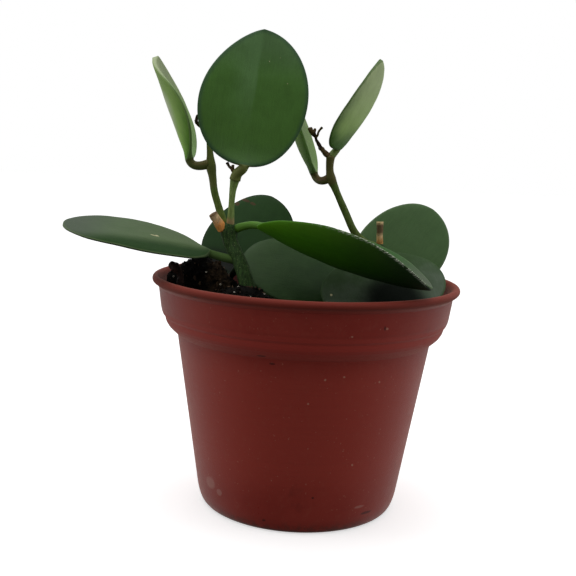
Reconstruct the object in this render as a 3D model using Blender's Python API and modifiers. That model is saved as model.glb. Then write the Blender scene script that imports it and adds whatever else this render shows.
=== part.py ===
"""A string of coins plant in its nursery pot.

Frame: the origin is the centre of the pot's base, +Z is up and the plant is seen from -Y.
All sizes below are millimetres and become metres when a mesh is written.
"""
import math
from dataclasses import dataclass

import bmesh
import bpy
from mathutils import Vector, noise
from mathutils.geometry import interpolate_bezier

MM = 0.001
GAP = 0.3                   # clearance between pieces that touch on the real plant

# Pot, from the rim down
POT_HEIGHT = 79.0
RIM_RADIUS = 52.5
LIP_RADIUS = 1.3            # the rolled lip is a bead of this radius
WALL = 0.9
INNER_RISE = 0.4            # the inner surface's bends lie this much higher than the outer's
COLLAR_TOP = (50.5, 75.7)   # radius and height of the outer surface
COLLAR_FOOT = (49.3, 67.0)
STEP = ((47.8, 64.0), (46.0, 61.5), (44.0, 60.0))
BODY_TOP = (43.7, 59.0)
BODY_FOOT = (35.3, 7.5)
FOOT_RING = (29.0, 31.5)    # the flat ring that the pot stands on
CENTRE_DISC = 13.5          # the flat disc in the middle of the base
ARCH_HEIGHT = 2.0           # the base is raised this much between ring and disc
DRAIN_HOLES = 8
DRAIN_CIRCLE = 21.0
DRAIN_RADIUS = 2.5
POT_STEPS = 60

# Soil
SOIL_FLOOR = 3.4
SOIL_LEVEL = 67.6           # in the middle, below the low leaves
SOIL_WALL_RISE = 3.6        # how much higher it lies against the wall
SOIL_EDGE = 0.8             # the soil's top is rounded off this much at the wall
SOIL_LUMPS = 0.9
LUMP_SIZE = 7.0
MOUNDS = (                  # centre x and y, height, spread in x and y
    (-35.5, -2.5, 16.6, 9.8, 4.0),
    (-20.0, -19.5, 9.6, 9.0, 6.5),
)
SOIL_SIDES = 48
SOIL_TOP_RINGS = 15
CLOSE = 0.01                # points nearer than this are welded

# Leaves
LEAF_THICKNESS = 2.6
END_THICKNESS = 0.35        # share of that thickness at the blade's base and tip
FULLNESS = 0.8              # of the blade's section: 1 is an ellipse, less is fuller
STALK_SWELL = 0.12          # share of the blade's length that swells into the stalk
LEAF_SIDES = 12
STALK_RINGS = 5
STALK_POINTS = 41           # worked out along a stalk's curve
BLADE_RINGS = 15


@dataclass
class Leaf:
    """One leaf: its stalk leaves a stem at start and reaches the blade at base."""
    start: tuple                # where the stalk begins, just clear of its stem
    bend: tuple                 # the stalk heads for this point first
    base: tuple                 # where the blade begins
    tip: tuple
    face: tuple                 # the way the upper side looks
    widths: tuple               # left and right half widths, tip up, upper side seen
    widest: tuple = (0.5, 0.5)  # where each half is widest, from the base (0) to the tip (1)
    base_round: tuple = (0.5, 0.5)   # 0.5 is an ellipse, less is blunter
    tip_round: tuple = (0.52, 0.52)
    cup: float = 0.6            # how far the margins rise over the middle
    sag: float = 0.5            # how far the middle lies below the line from base to tip
    twist: float = 0.0          # degrees that the tip turns against the base, each way
    stalk: float = 1.15         # radius of the stalk


LEAVES = {
    "leaf_upper_left": Leaf(
        start=(-35.4, -5.0, 115.1), bend=(-37.6, -5.0, 114.3),
        base=(-40.1, -5.0, 118.4), tip=(-53.9, -5.0, 150.0), face=(0.91, 0.07, 0.40),
        widths=(15.0, 15.0), tip_round=(0.5, 0.5), cup=4.6, sag=0.3, twist=-5.0, stalk=1.2),
    "leaf_upper_middle": Leaf(
        start=(-24.1, -12.9, 113.4), bend=(-23.6, -13.3, 114.6),
        base=(-21.4, -15.0, 116.6), tip=(-17.4, -10.0, 160.2), face=(0.18, -0.98, 0.10),
        widths=(17.9, 18.2), widest=(0.45, 0.48), base_round=(0.52, 0.45),
        tip_round=(0.78, 0.57), cup=1.5, sag=0.0, stalk=1.3),
    "leaf_lower_left": Leaf(
        start=(-25.8, -12.0, 86.4), bend=(-28.2, -12.0, 86.6),
        base=(-32.9, -12.0, 87.7), tip=(-79.2, -20.0, 95.6), face=(0.19, -0.13, 0.97),
        widths=(17.5, 17.5), base_round=(0.55, 0.55), tip_round=(0.45, 0.45), cup=1.0, sag=-0.7, stalk=0.9),
    "leaf_lower_front": Leaf(
        start=(-23.0, -10.4, 95.4), bend=(-20.5, -11.4, 96.6),
        base=(-15.3, -14.0, 97.0), tip=(37.7, -40.0, 82.7), face=(0.29, 0.04, 0.96),
        widths=(16.5, 16.5), base_round=(0.42, 0.42), tip_round=(0.5, 0.5), cup=9.8, sag=2.8,
        stalk=1.1),
    "leaf_back_left": Leaf(
        start=(-22.4, -9.7, 84.6), bend=(-23.5, -1.0, 81.0),
        base=(-27.0, 7.0, 78.5), tip=(-13.7, 18.0, 105.3), face=(-0.15, -0.92, 0.36),
        widths=(15.4, 15.0), widest=(0.33, 0.54), base_round=(0.42, 0.5)),
    "leaf_low_middle": Leaf(
        start=(21.3, 4.5, 79.0), bend=(17.0, 2.6, 78.8),
        base=(10.5, 0.0, 79.3), tip=(-22.5, -5.0, 83.1), face=(0.19, -0.68, 0.71),
        widths=(13.8, 14.5), widest=(0.4, 0.5), tip_round=(0.6, 0.5)),
    "leaf_low_right": Leaf(
        start=(23.4, 3.1, 87.6), bend=(22.6, 2.0, 88.4),
        base=(21.3, -0.3, 87.6), tip=(30.0, -24.5, 70.1), face=(-0.05, -0.62, 0.78),
        widths=(21.0, 21.0), base_round=(0.45, 0.45), tip_round=(0.45, 0.45), stalk=1.0),
    "leaf_back_right": Leaf(
        start=(23.8, 8.0, 75.8), bend=(23.8, 11.5, 74.4),
        base=(23.9, 16.0, 74.9), tip=(45.4, 26.0, 102.9), face=(-0.06, -0.93, 0.37),
        widths=(15.6, 15.6), widest=(0.42, 0.52), tip_round=(0.49, 0.49)),
    "leaf_upper_inner": Leaf(
        start=(5.3, 2.8, 112.7), bend=(3.6, 4.2, 111.2),
        base=(1.7, 8.0, 114.8), tip=(-11.2, 8.0, 146.5), face=(0.92, -0.08, 0.37),
        widths=(14.0, 14.0), cup=3.1, sag=0.7, twist=-3.0, stalk=1.1),
    "leaf_upper_right": Leaf(
        start=(6.6, 2.8, 120.8), bend=(7.2, 3.5, 122.0),
        base=(8.1, 5.0, 123.8), tip=(20.4, -7.0, 152.6), face=(-0.84, 0.26, 0.47),
        widths=(14.0, 14.0), tip_round=(0.6, 0.52), cup=1.2, sag=1.5, stalk=1.1),
}

# Stems: points along the middle, each with its radius
STEMS = {
    "cutting_left": (
        (-15.0, -14.0, 54.0, 2.15), (-18.5, -14.0, 77.0, 2.2), (-22.2, -12.4, 85.3, 2.25),
        (-25.2, -10.2, 91.2, 2.4), (-25.9, -9.6, 94.6, 2.45), (-25.9, -9.5, 96.2, 2.3)),
    "cutting_right": (
        (21.0, 4.0, 54.0, 2.15), (23.8, 5.4, 78.0, 2.15), (24.8, 5.9, 86.0, 2.3),
        (25.1, 6.0, 89.0, 2.6), (25.1, 6.0, 90.6, 1.8)),
}
SHOOTS = {
    "shoot_left_back": (
        (-28.1, -7.6, 96.5, 1.25), (-30.3, -6.7, 102.0, 1.15), (-32.0, -6.2, 107.2, 1.15),
        (-33.7, -5.0, 115.1, 1.3), (-34.1, -4.0, 121.0, 1.0), (-35.6, -2.0, 126.9, 0.9),
        (-37.2, -1.0, 130.2, 0.8)),
    "shoot_left_front": (
        (-26.0, -9.9, 96.6, 1.3), (-25.9, -10.8, 100.6, 1.1), (-25.4, -12.0, 108.4, 1.15),
        (-24.6, -12.5, 112.2, 1.6)),
    "shoot_right": (
        (22.7, 4.9, 90.6, 1.45), (19.6, 3.4, 92.0, 1.45), (16.4, 2.0, 94.9, 1.45),
        (13.4, 2.0, 102.1, 1.35), (9.0, 2.0, 110.8, 1.25), (7.2, 2.0, 113.6, 1.45),
        (5.9, 2.0, 119.3, 1.5)),
}
CUT_ENDS = {
    "cut_end_left": ((-29.1, -10.8, 95.6, 1.5), (-31.9, -11.8, 99.8, 1.4)),
    "cut_end_right": ((25.0, 6.0, 91.2, 1.2), (24.9, 6.0, 95.0, 1.05), (24.7, 6.0, 98.9, 1.2)),
}
TENDRILS = {
    "tendril_left_back": (
        (-37.6, -0.8, 130.8, 0.8), (-38.7, 0.0, 132.4, 1.0), (-39.9, 0.2, 131.2, 0.9),
        (-38.9, 0.0, 128.4, 0.5)),
    "tendril_left_front": (
        (-26.0, -11.8, 113.6, 0.45), (-26.3, -12.0, 115.6, 0.35), (-27.6, -12.0, 117.1, 0.5)),
    "tendril_right": (
        (4.4, 1.7, 121.0, 0.7), (2.6, 2.0, 123.9, 0.65), (1.2, 2.0, 126.4, 0.8),
        (1.2, 2.0, 128.2, 1.6), (2.6, 2.0, 129.9, 0.7)),
}
TWIG = (
    (-41.4, -11.0, 68.0, 1.3), (-41.8, -12.0, 76.7, 1.3), (-42.0, -12.0, 79.6, 1.0),
    (-43.5, -12.0, 81.8, 1.6), (-45.2, -12.0, 83.0, 1.2))

MATERIALS = {               # colour, roughness
    "terracotta_plastic": ((0.36, 0.12, 0.08), 0.45),
    "potting_soil": ((0.035, 0.025, 0.02), 0.95),
    "leaf_green": ((0.06, 0.13, 0.05), 0.42),
    "old_stem": ((0.09, 0.13, 0.07), 0.6),
    "young_shoot": ((0.16, 0.21, 0.08), 0.5),
    "dry_cut_end": ((0.45, 0.27, 0.12), 0.8),
    "dried_tendril": ((0.07, 0.03, 0.025), 0.8),
}


def clear_scene():
    for obj in list(bpy.data.objects):
        bpy.data.objects.remove(obj)


def new_collection(name):
    collection = bpy.data.collections.new(name)
    bpy.context.scene.collection.children.link(collection)
    return collection


def material(name):
    """One Principled material of the list above, made once."""
    if name in bpy.data.materials:
        return bpy.data.materials[name]
    colour, roughness = MATERIALS[name]
    mat = bpy.data.materials.new(name)
    mat.use_nodes = True
    shader = mat.node_tree.nodes["Principled BSDF"]
    shader.inputs["Base Color"].default_value = (*colour, 1.0)
    shader.inputs["Roughness"].default_value = roughness
    mat.diffuse_color = (*colour, 1.0)
    return mat


def add_object(name, data, collection, parent=None):
    obj = bpy.data.objects.new(name, data)
    collection.objects.link(obj)
    obj.parent = parent
    return obj


def mesh_from(bm, name):
    """Write a mesh in metres from one built in millimetres."""
    bmesh.ops.scale(bm, verts=bm.verts, vec=(MM, MM, MM))
    mesh = bpy.data.meshes.new(name)
    bm.to_mesh(mesh)
    bm.free()
    return mesh


def smooth(mesh, sharp_degrees=40.0):
    mesh.shade_smooth()
    mesh.set_sharp_from_angle(angle=math.radians(sharp_degrees))


def arc(centre, radius, start, end, count):
    """Points on an arc in the (radius, height) plane, angles in degrees."""
    points = []
    for step in range(count + 1):
        angle = math.radians(start + (end - start) * step / count)
        points.append((centre[0] + radius * math.cos(angle), centre[1] + radius * math.sin(angle)))
    return points


def corner(start, bend, end, count):
    """Points on a round corner from start to end, both left out."""
    points = []
    for step in range(1, count):
        t = step / count
        parts = ((1 - t) ** 2, 2 * t * (1 - t), t ** 2)
        points.append(tuple(sum(k * p[axis] for k, p in zip(parts, (start, bend, end)))
                            for axis in range(2)))
    return points


def inner_profile():
    """The pot's inner surface in (radius, height), from the middle of the floor up."""
    ring_in, ring_out = FOOT_RING
    foot = (BODY_FOOT[0] - WALL, BODY_FOOT[1])
    floor = [
        (0.0, WALL), (CENTRE_DISC - 0.5, WALL),
        (CENTRE_DISC + 0.5, ARCH_HEIGHT + WALL), (ring_in - 0.3, ARCH_HEIGHT + WALL),
        (ring_in + 0.6, WALL), (ring_out - 0.3, WALL)]
    bend = corner(floor[-1], (foot[0] - 0.9, WALL), foot, 3)
    outer = (BODY_TOP, *reversed(STEP), COLLAR_FOOT, COLLAR_TOP)
    return floor + bend + [foot] + [(radius - WALL, height + INNER_RISE) for radius, height in outer]


def outer_profile():
    """The pot's outer surface in (radius, height), from the collar down to the middle."""
    ring_in, ring_out = FOOT_RING
    wall = [COLLAR_TOP, COLLAR_FOOT, *STEP, BODY_TOP, BODY_FOOT]
    bend = corner(BODY_FOOT, (BODY_FOOT[0] - 1.1, 0.0), (ring_out, 0.0), 4)
    base = [
        (ring_out, 0.0), (ring_in, 0.0), (ring_in - 0.8, ARCH_HEIGHT),
        (CENTRE_DISC + 1.0, ARCH_HEIGHT), (CENTRE_DISC, 0.0), (0.0, 0.0)]
    return wall + bend + base


def pot_profile():
    """The whole wall: up the inside, round the rolled lip and down the outside."""
    lip = arc((RIM_RADIUS - LIP_RADIUS, POT_HEIGHT - LIP_RADIUS), LIP_RADIUS, 180, -70, 7)
    return inner_profile() + lip + outer_profile()


def inner_wall(level):
    """Radius of the pot's inner surface at a height above its foot."""
    wall = [point for point in inner_profile() if point[0] > FOOT_RING[1]]
    for (low_radius, low), (high_radius, high) in zip(wall, wall[1:]):
        if low <= level <= high:
            return low_radius + (high_radius - low_radius) * (level - low) / (high - low)
    return wall[-1][0]


def make_pot(collection, cutters, parent):
    bm = bmesh.new()
    verts = [bm.verts.new((radius, 0.0, height)) for radius, height in pot_profile()]
    for start, end in zip(verts, verts[1:]):
        bm.edges.new((start, end))
    pot = add_object("pot", mesh_from(bm, "pot"), collection, parent)
    screw = pot.modifiers.new("turned", "SCREW")
    screw.steps = screw.render_steps = POT_STEPS
    screw.use_merge_vertices = True
    screw.merge_threshold = CLOSE * MM
    screw.use_smooth_shade = True
    cut = pot.modifiers.new("drain_holes", "BOOLEAN")
    cut.object = drain_hole_cutter(cutters)
    pot.data.materials.append(material("terracotta_plastic"))


def drain_hole_cutter(cutters):
    bm = bmesh.new()
    for hole in range(DRAIN_HOLES):
        angle = math.tau * (hole + 0.5) / DRAIN_HOLES
        made = bmesh.ops.create_cone(
            bm, cap_ends=True, segments=12, radius1=DRAIN_RADIUS, radius2=DRAIN_RADIUS,
            depth=4 * ARCH_HEIGHT)
        place = (DRAIN_CIRCLE * math.cos(angle), DRAIN_CIRCLE * math.sin(angle), ARCH_HEIGHT)
        bmesh.ops.translate(bm, verts=made["verts"], vec=place)
    return hidden_cutter("drain_hole_cutter", bm, cutters)


def hidden_cutter(name, bm, cutters):
    cutter = add_object(name, mesh_from(bm, name), cutters)
    cutter.hide_render = True
    cutter.display_type = "WIRE"
    return cutter


def shaped_sphere(sides, rings, point):
    """A sphere whose vertices move to point(ring, turn); the first and last rings are poles."""
    bm = bmesh.new()
    bmesh.ops.create_uvsphere(bm, u_segments=sides, v_segments=rings, radius=1.0)
    for vert in bm.verts:
        polar = math.acos(max(-1.0, min(1.0, vert.co.z)))
        ring = round(polar / math.pi * rings)
        vert.co = point(ring, math.atan2(vert.co.y, vert.co.x))
    bmesh.ops.triangulate(bm, faces=bm.faces, quad_method="FIXED")
    bmesh.ops.recalc_face_normals(bm, faces=bm.faces)
    return bm


def soil_height(x, y):
    """The soil's surface: a shallow dish with mounds and lumps."""
    height = SOIL_LEVEL + SOIL_WALL_RISE * (math.hypot(x, y) / inner_wall(SOIL_LEVEL)) ** 4
    for centre_x, centre_y, rise, spread_x, spread_y in MOUNDS:
        reach = ((x - centre_x) / spread_x) ** 2 + ((y - centre_y) / spread_y) ** 2
        height += rise * math.exp(-0.5 * reach)
    return height + SOIL_LUMPS * noise.noise(Vector((x, y, 0.0)) / LUMP_SIZE)


def soil_section():
    """The soil's floor and side in (radius, height), a gap inside the pot's inner surface."""
    floor = [(0.0, SOIL_FLOOR), (FOOT_RING[1] / 2, SOIL_FLOOR), (FOOT_RING[1] - GAP, SOIL_FLOOR)]
    levels = [BODY_FOOT[1] + INNER_RISE, BODY_TOP[1] / 2]
    levels += [level + INNER_RISE for _, level in (BODY_TOP, *reversed(STEP), COLLAR_FOOT)]
    side = [(inner_wall(level) - GAP, level) for level in levels]
    return floor + side + [(inner_wall(SOIL_LEVEL) - GAP, None)]


def soil_point(ring, turn, section):
    """Rings run from the middle of the floor, up the side and back to the middle on top."""
    top_ring = ring - len(section) + 1
    radius, height = section[min(ring, len(section) - 1)]
    if top_ring > 0:
        radius = (radius - SOIL_EDGE) * (1 - (top_ring - 1) / (SOIL_TOP_RINGS - 1))
    x, y = radius * math.cos(turn), radius * math.sin(turn)
    if top_ring == 0:
        height = soil_height(x, y) - SOIL_EDGE
    return Vector((x, y, soil_height(x, y) if height is None else height))


def stem_hole(name, points, cutters):
    """A plain round hole along a stem that stands in the soil, a gap wider than the stem."""
    low, high = Vector(points[0][:3]), Vector(points[1][:3])
    deeper = low - (high - low).normalized() * GAP
    wider = [(x, y, z, radius + GAP) for x, y, z, radius in points[1:]]
    curve = tube_curve(name, [(*deeper, points[0][3] + GAP), *wider])
    guide = add_object(name + "_guide", curve, cutters)
    bpy.context.view_layer.update()
    shape = guide.evaluated_get(bpy.context.evaluated_depsgraph_get())
    bm = bmesh.new()
    bm.from_mesh(bpy.data.meshes.new_from_object(shape))
    bmesh.ops.remove_doubles(bm, verts=bm.verts, dist=CLOSE * MM)
    bmesh.ops.scale(bm, verts=bm.verts, vec=(1 / MM, 1 / MM, 1 / MM))
    bpy.data.objects.remove(guide)
    return hidden_cutter(name, bm, cutters)


def make_soil(collection, cutters, parent):
    section = soil_section()
    rings = len(section) - 1 + SOIL_TOP_RINGS
    shape = shaped_sphere(SOIL_SIDES, rings, lambda ring, turn: soil_point(ring, turn, section))
    mesh = mesh_from(shape, "soil")
    smooth(mesh)
    mesh.materials.append(material("potting_soil"))
    soil = add_object("soil", mesh, collection, parent)
    standing = {**STEMS, "twig": TWIG}
    for name, points in standing.items():
        cut = soil.modifiers.new("hole_for_" + name, "BOOLEAN")
        cut.object = stem_hole("hole_for_" + name, points, cutters)


def leaf_frame(leaf):
    """The blade's right, forward and upward directions, and its length."""
    forward = Vector(leaf.tip) - Vector(leaf.base)
    length = forward.length
    forward.normalize()
    up = Vector(leaf.face)
    up = (up - forward * up.dot(forward)).normalized()
    return forward.cross(up), forward, up, length


def half_width(leaf, along, side):
    """The outline: half the blade's width on one side, from the base (0) to the tip (1)."""
    bent = along ** (math.log(0.5) / math.log(leaf.widest[side]))
    power = leaf.base_round[side] if bent < 0.5 else leaf.tip_round[side]
    return leaf.widths[side] * max(0.0, 4 * bent * (1 - bent)) ** power


def blade_point(leaf, along, turn):
    right, forward, up, length = leaf_frame(leaf)
    side = 1 if math.cos(turn) >= 0 else 0
    near_stalk = max(0.0, 1 - along / STALK_SWELL)
    half = math.hypot(half_width(leaf, along, side), leaf.stalk * near_stalk)
    across = half * math.cos(turn)
    width = max(leaf.widths)
    hump = 4 * along * (1 - along)
    thick = LEAF_THICKNESS / 2 * (END_THICKNESS + (1 - END_THICKNESS) * math.sqrt(hump))
    thick = math.hypot(thick, leaf.stalk * near_stalk)
    rise = math.copysign(abs(math.sin(turn)) ** FULLNESS, math.sin(turn)) * thick
    angle = math.radians(leaf.twist * (2 * along - 1))
    side_way = right * math.cos(angle) + up * math.sin(angle)
    up_way = up * math.cos(angle) - right * math.sin(angle)
    slope = 2 * leaf.cup * across / width ** 2
    outward = (up_way - side_way * slope).normalized()
    middle = Vector(leaf.base) + forward * length * along - up * leaf.sag * hump
    return middle + side_way * across + up_way * leaf.cup * (across / width) ** 2 + outward * rise


def stalk_point(leaf, part, turn):
    """The round stalk, on a smooth curve that arrives in line with the blade."""
    right, forward, _, _ = leaf_frame(leaf)
    start, bend, base = Vector(leaf.start), Vector(leaf.bend), Vector(leaf.base)
    arrive = base - forward * (base - start).length * 0.35
    path = interpolate_bezier(start, bend, arrive, base, STALK_POINTS)
    spot = round(part * (STALK_POINTS - 1))
    heading = (path[min(STALK_POINTS - 1, spot + 1)] - path[max(0, spot - 1)]).normalized()
    across = (right - heading * right.dot(heading)).normalized()
    upward = across.cross(heading)
    return path[spot] + (across * math.cos(turn) + upward * math.sin(turn)) * leaf.stalk


def make_leaf(name, leaf, collection, parent):
    def point(ring, turn):
        if ring == 0:
            return Vector(leaf.start)
        if ring <= STALK_RINGS:
            return stalk_point(leaf, (ring - 1) / (STALK_RINGS - 1) * 0.98, turn)
        step = (ring - STALK_RINGS) / BLADE_RINGS
        return blade_point(leaf, (1 - math.cos(math.pi * step)) / 2, turn)

    mesh = mesh_from(shaped_sphere(LEAF_SIDES, STALK_RINGS + BLADE_RINGS, point), name)
    smooth(mesh, 60.0)
    mesh.materials.append(material("leaf_green"))
    add_object(name, mesh, collection, parent)


def tube_curve(name, points):
    """A round stem whose radius changes from point to point, as a curve."""
    curve = bpy.data.curves.new(name, "CURVE")
    curve.dimensions = "3D"
    curve.bevel_depth = MM
    curve.bevel_resolution = 2
    curve.resolution_u = 3
    curve.use_fill_caps = True
    spline = curve.splines.new("BEZIER")
    spline.bezier_points.add(len(points) - 1)
    for knot, (x, y, z, radius) in zip(spline.bezier_points, points):
        knot.co = Vector((x, y, z)) * MM
        knot.radius = radius
        knot.handle_left_type = knot.handle_right_type = "AUTO"
    return curve


def make_tube(name, points, finish, collection, parent):
    curve = tube_curve(name, points)
    curve.materials.append(material(finish))
    add_object(name, curve, collection, parent)


def build():
    clear_scene()
    collection = new_collection("potted_string_of_coins")
    cutters = new_collection("cutters")
    parent = add_object("plant_and_pot", None, collection)
    make_pot(collection, cutters, parent)
    make_soil(collection, cutters, parent)
    for finish, group in (("old_stem", STEMS), ("young_shoot", SHOOTS),
                          ("dry_cut_end", CUT_ENDS), ("dried_tendril", TENDRILS)):
        for name, points in group.items():
            make_tube(name, points, finish, collection, parent)
    make_tube("twig", TWIG, "dried_tendril", collection, parent)
    for name, leaf in LEAVES.items():
        make_leaf(name, leaf, collection, parent)


build()
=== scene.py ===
"""The looks of a string of coins plant in its nursery pot.

Sizes below are millimetres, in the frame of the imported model: the origin is the centre of the
pot's base, +Z is up and the plant is seen from -Y. Meshes are written in metres.
"""

import math
from dataclasses import dataclass
from functools import cached_property

import bmesh
import bpy
import numpy as np
from mathutils import Matrix, Vector, noise
from mathutils.geometry import interpolate_bezier


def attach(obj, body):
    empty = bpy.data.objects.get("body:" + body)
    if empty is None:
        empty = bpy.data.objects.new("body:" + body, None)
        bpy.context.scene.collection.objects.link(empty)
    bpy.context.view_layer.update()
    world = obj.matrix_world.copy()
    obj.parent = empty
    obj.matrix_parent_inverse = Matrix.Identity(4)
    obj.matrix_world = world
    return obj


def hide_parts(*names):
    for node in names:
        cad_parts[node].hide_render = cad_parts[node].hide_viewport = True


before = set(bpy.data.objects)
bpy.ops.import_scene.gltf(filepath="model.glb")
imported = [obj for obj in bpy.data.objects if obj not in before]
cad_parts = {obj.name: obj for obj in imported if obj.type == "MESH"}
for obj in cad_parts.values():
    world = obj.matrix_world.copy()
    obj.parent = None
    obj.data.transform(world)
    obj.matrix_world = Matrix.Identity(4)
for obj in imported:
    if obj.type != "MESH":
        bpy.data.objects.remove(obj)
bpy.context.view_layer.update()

MM = 0.001

# Camera: it stands in front of the pot, a little above the leaves, and leans slightly
CAMERA_PLACE = (0, -318, 122)
LOOK_DOWN = 8.4  # degrees
LOOK_ASIDE = -1.1
LEAN = 2.6
FOCAL_LENGTH = 58.125
SENSOR = 36  # its width
NEAREST = 10  # what is nearer to the camera is not drawn

# Room
FLOOR_REACH = 3000
LAMP_TARGET = (0, 0, 0.1)  # metres, as in the table of lamps
LAMPS = (  # place, width and height, watts
    ("softbox_above", (-0.1, 0, 0.75), (0.6, 0.5), 1.2),
    ("softbox_left", (-0.6, -0.1, 0.25), (0.3, 0.5), 0.5),
    ("softbox_right", (0.6, -0.1, 0.25), (0.3, 0.5), 0.5),
)

# Pot, from the rim down
POT_HEIGHT = 79.0
RIM_RADIUS = 52.5
LIP_RADIUS = 1.3
LIP_SWEEP = (180, -70, 15)  # degrees, from the inside over the top, and the number of points
WALL = 0.9
INNER_RISE = 0.4
COLLAR_TOP = (50.3, 75.2)  # radius and height of the outer surface
COLLAR_FOOT = (49.35, 68.3)
STEP = (
    (49.05, 67.0), (48.65, 66.0), (48.0, 65.2), (47.75, 64.2), (47.4, 63.2), (46.7, 62.1),
    (45.6, 61.0), (44.4, 60.0), (43.6, 59.3))
BODY_TOP = (43.45, 58.5)
BODY_FOOT = (35.25, 7.5)
FOOT_BEND = (34.15, 0.0)  # the body's foot is rounded toward this corner
FOOT_STEPS = 8
FOOT_RING = (29.0, 31.5)
CENTRE_DISC = 13.5
ARCH_HEIGHT = 2.0
DRAIN_HOLES = 8
DRAIN_CIRCLE = 21.0
DRAIN_RADIUS = 2.5
DRAIN_SIDES = 32
CORNER_RADIUS = 0.5
CORNER_STEPS = 4
POT_TURNS = 240
WELD = 0.01
SHARP_ANGLE = 35  # degrees

# Soil
SOIL_FLOOR = 3.4
SOIL_LEVEL = 67.6
SOIL_WALL_RISE = 3.6
SOIL_GAP = 0.3  # to the pot's wall
SOIL_EDGE = (0.16, 0.8)  # the outermost ring lies this far in and down
MOUNDS = (  # centre x and y, height, spread in x and y
    (-35.5, -2.5, 16.6, 9.8, 4.0),
    (-20.0, -19.5, 9.6, 9.0, 6.5),
)
CLODS = (  # height, size and where in the noise they start
    (0.9, 7.0, (0, 0, 0)), (0.8, 3.1, (0, 0, 0)), (0.5, 1.3, (3, 5, 7)), (0.25, 0.7, (0, 0, 0)))
SOIL_SIDES = 180
SOIL_TOP_RINGS = 64

# Loose grains
GRAINS_ABOVE = 64  # height from which the soil carries grains
STEEPEST = 0.25  # upward part of the normals of the faces that carry grains
GRAIN_SHAPES = 4
MOSTLY_SMALL = 2.5  # power that makes large grains rare
GRAIN_RISE = 0.4  # a single grain's middle over the soil, as a share of its radius

# Leaves
LEAF_THICKNESS = 2.6
END_THICKNESS = 0.35  # share of the thickness at the stalk
FULLNESS = 0.8  # of a cross section: 1 is an ellipse, less is boxier
STALK_SWELL = 0.12  # share of the blade in which it thickens to its stalk
FOOT_SWELL = 0.16  # share by which a stalk is thicker at its foot
STALK_PULL = 0.35  # how straight the stalk runs into its blade
CREASE_ROUND = 0.05  # share of the width that rounds the middle crease
LEAF_SIDES = 56
STALK_RINGS = 14
BLADE_RINGS = 84
OUTLINE_STEPS = 160
ROOT_DEPTH = 1.0  # a stem's or stalk's end is sunk this far into what carries it

# Stems
DOME = 0.5  # height of a stem's round end, as a share of its radius
DOME_STEPS = 4
DISH = ((0.82, 0.0), (0.66, 0.6), (0.4, 1.0))  # a hollow end: share of radius and of depth

# Relief of each skin, as waves: size, height, seed, stretch along Z
LEAF_WAVES = ((9.0, 0.22, 0, 1), (3.5, 0.05, 5, 1))
OLD_WAVES = ((2.6, 0.16, 0, 1), (1.3, 0.12, 9, 2.4))
YOUNG_WAVES = ((4.0, 0.07, 3, 1), (1.4, 0.03, 7, 1))
WOOD_WAVES = ((0.7, 0.16, 2, 0.35),)
DRIED_WAVES = ((0.9, 0.3, 4, 1), (0.45, 0.14, 6, 1))


@dataclass
class Leaf:
    """One leaf: its stalk leaves a stem at start and reaches the blade at base.

    Pairs of numbers are for the blade's left and right half.
    """
    start: tuple
    bend: tuple
    base: tuple
    tip: tuple
    face: tuple  # the way its upper side looks
    widths: tuple
    widest: tuple = (0.5, 0.5)  # share of the length at which a half is widest
    base_round: tuple = (0.5, 0.5)
    tip_round: tuple = (0.52, 0.52)
    cup: tuple = (0.6, 0.6)  # how far each margin rises over the middle
    sag: float = 0.5  # how far the middle hangs under the line from base to tip
    twist: tuple = (0, 0)  # degrees at the tip, and as much the other way at the base
    stalk: float = 1.15  # radius
    fold: float = 0.0  # depth of the crease along the middle
    blunt: float = 0.5  # 0.5 makes round ends in thickness, less makes blunter ones
    tip_thick: float = 0.35  # share of the thickness at the very tip


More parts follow.
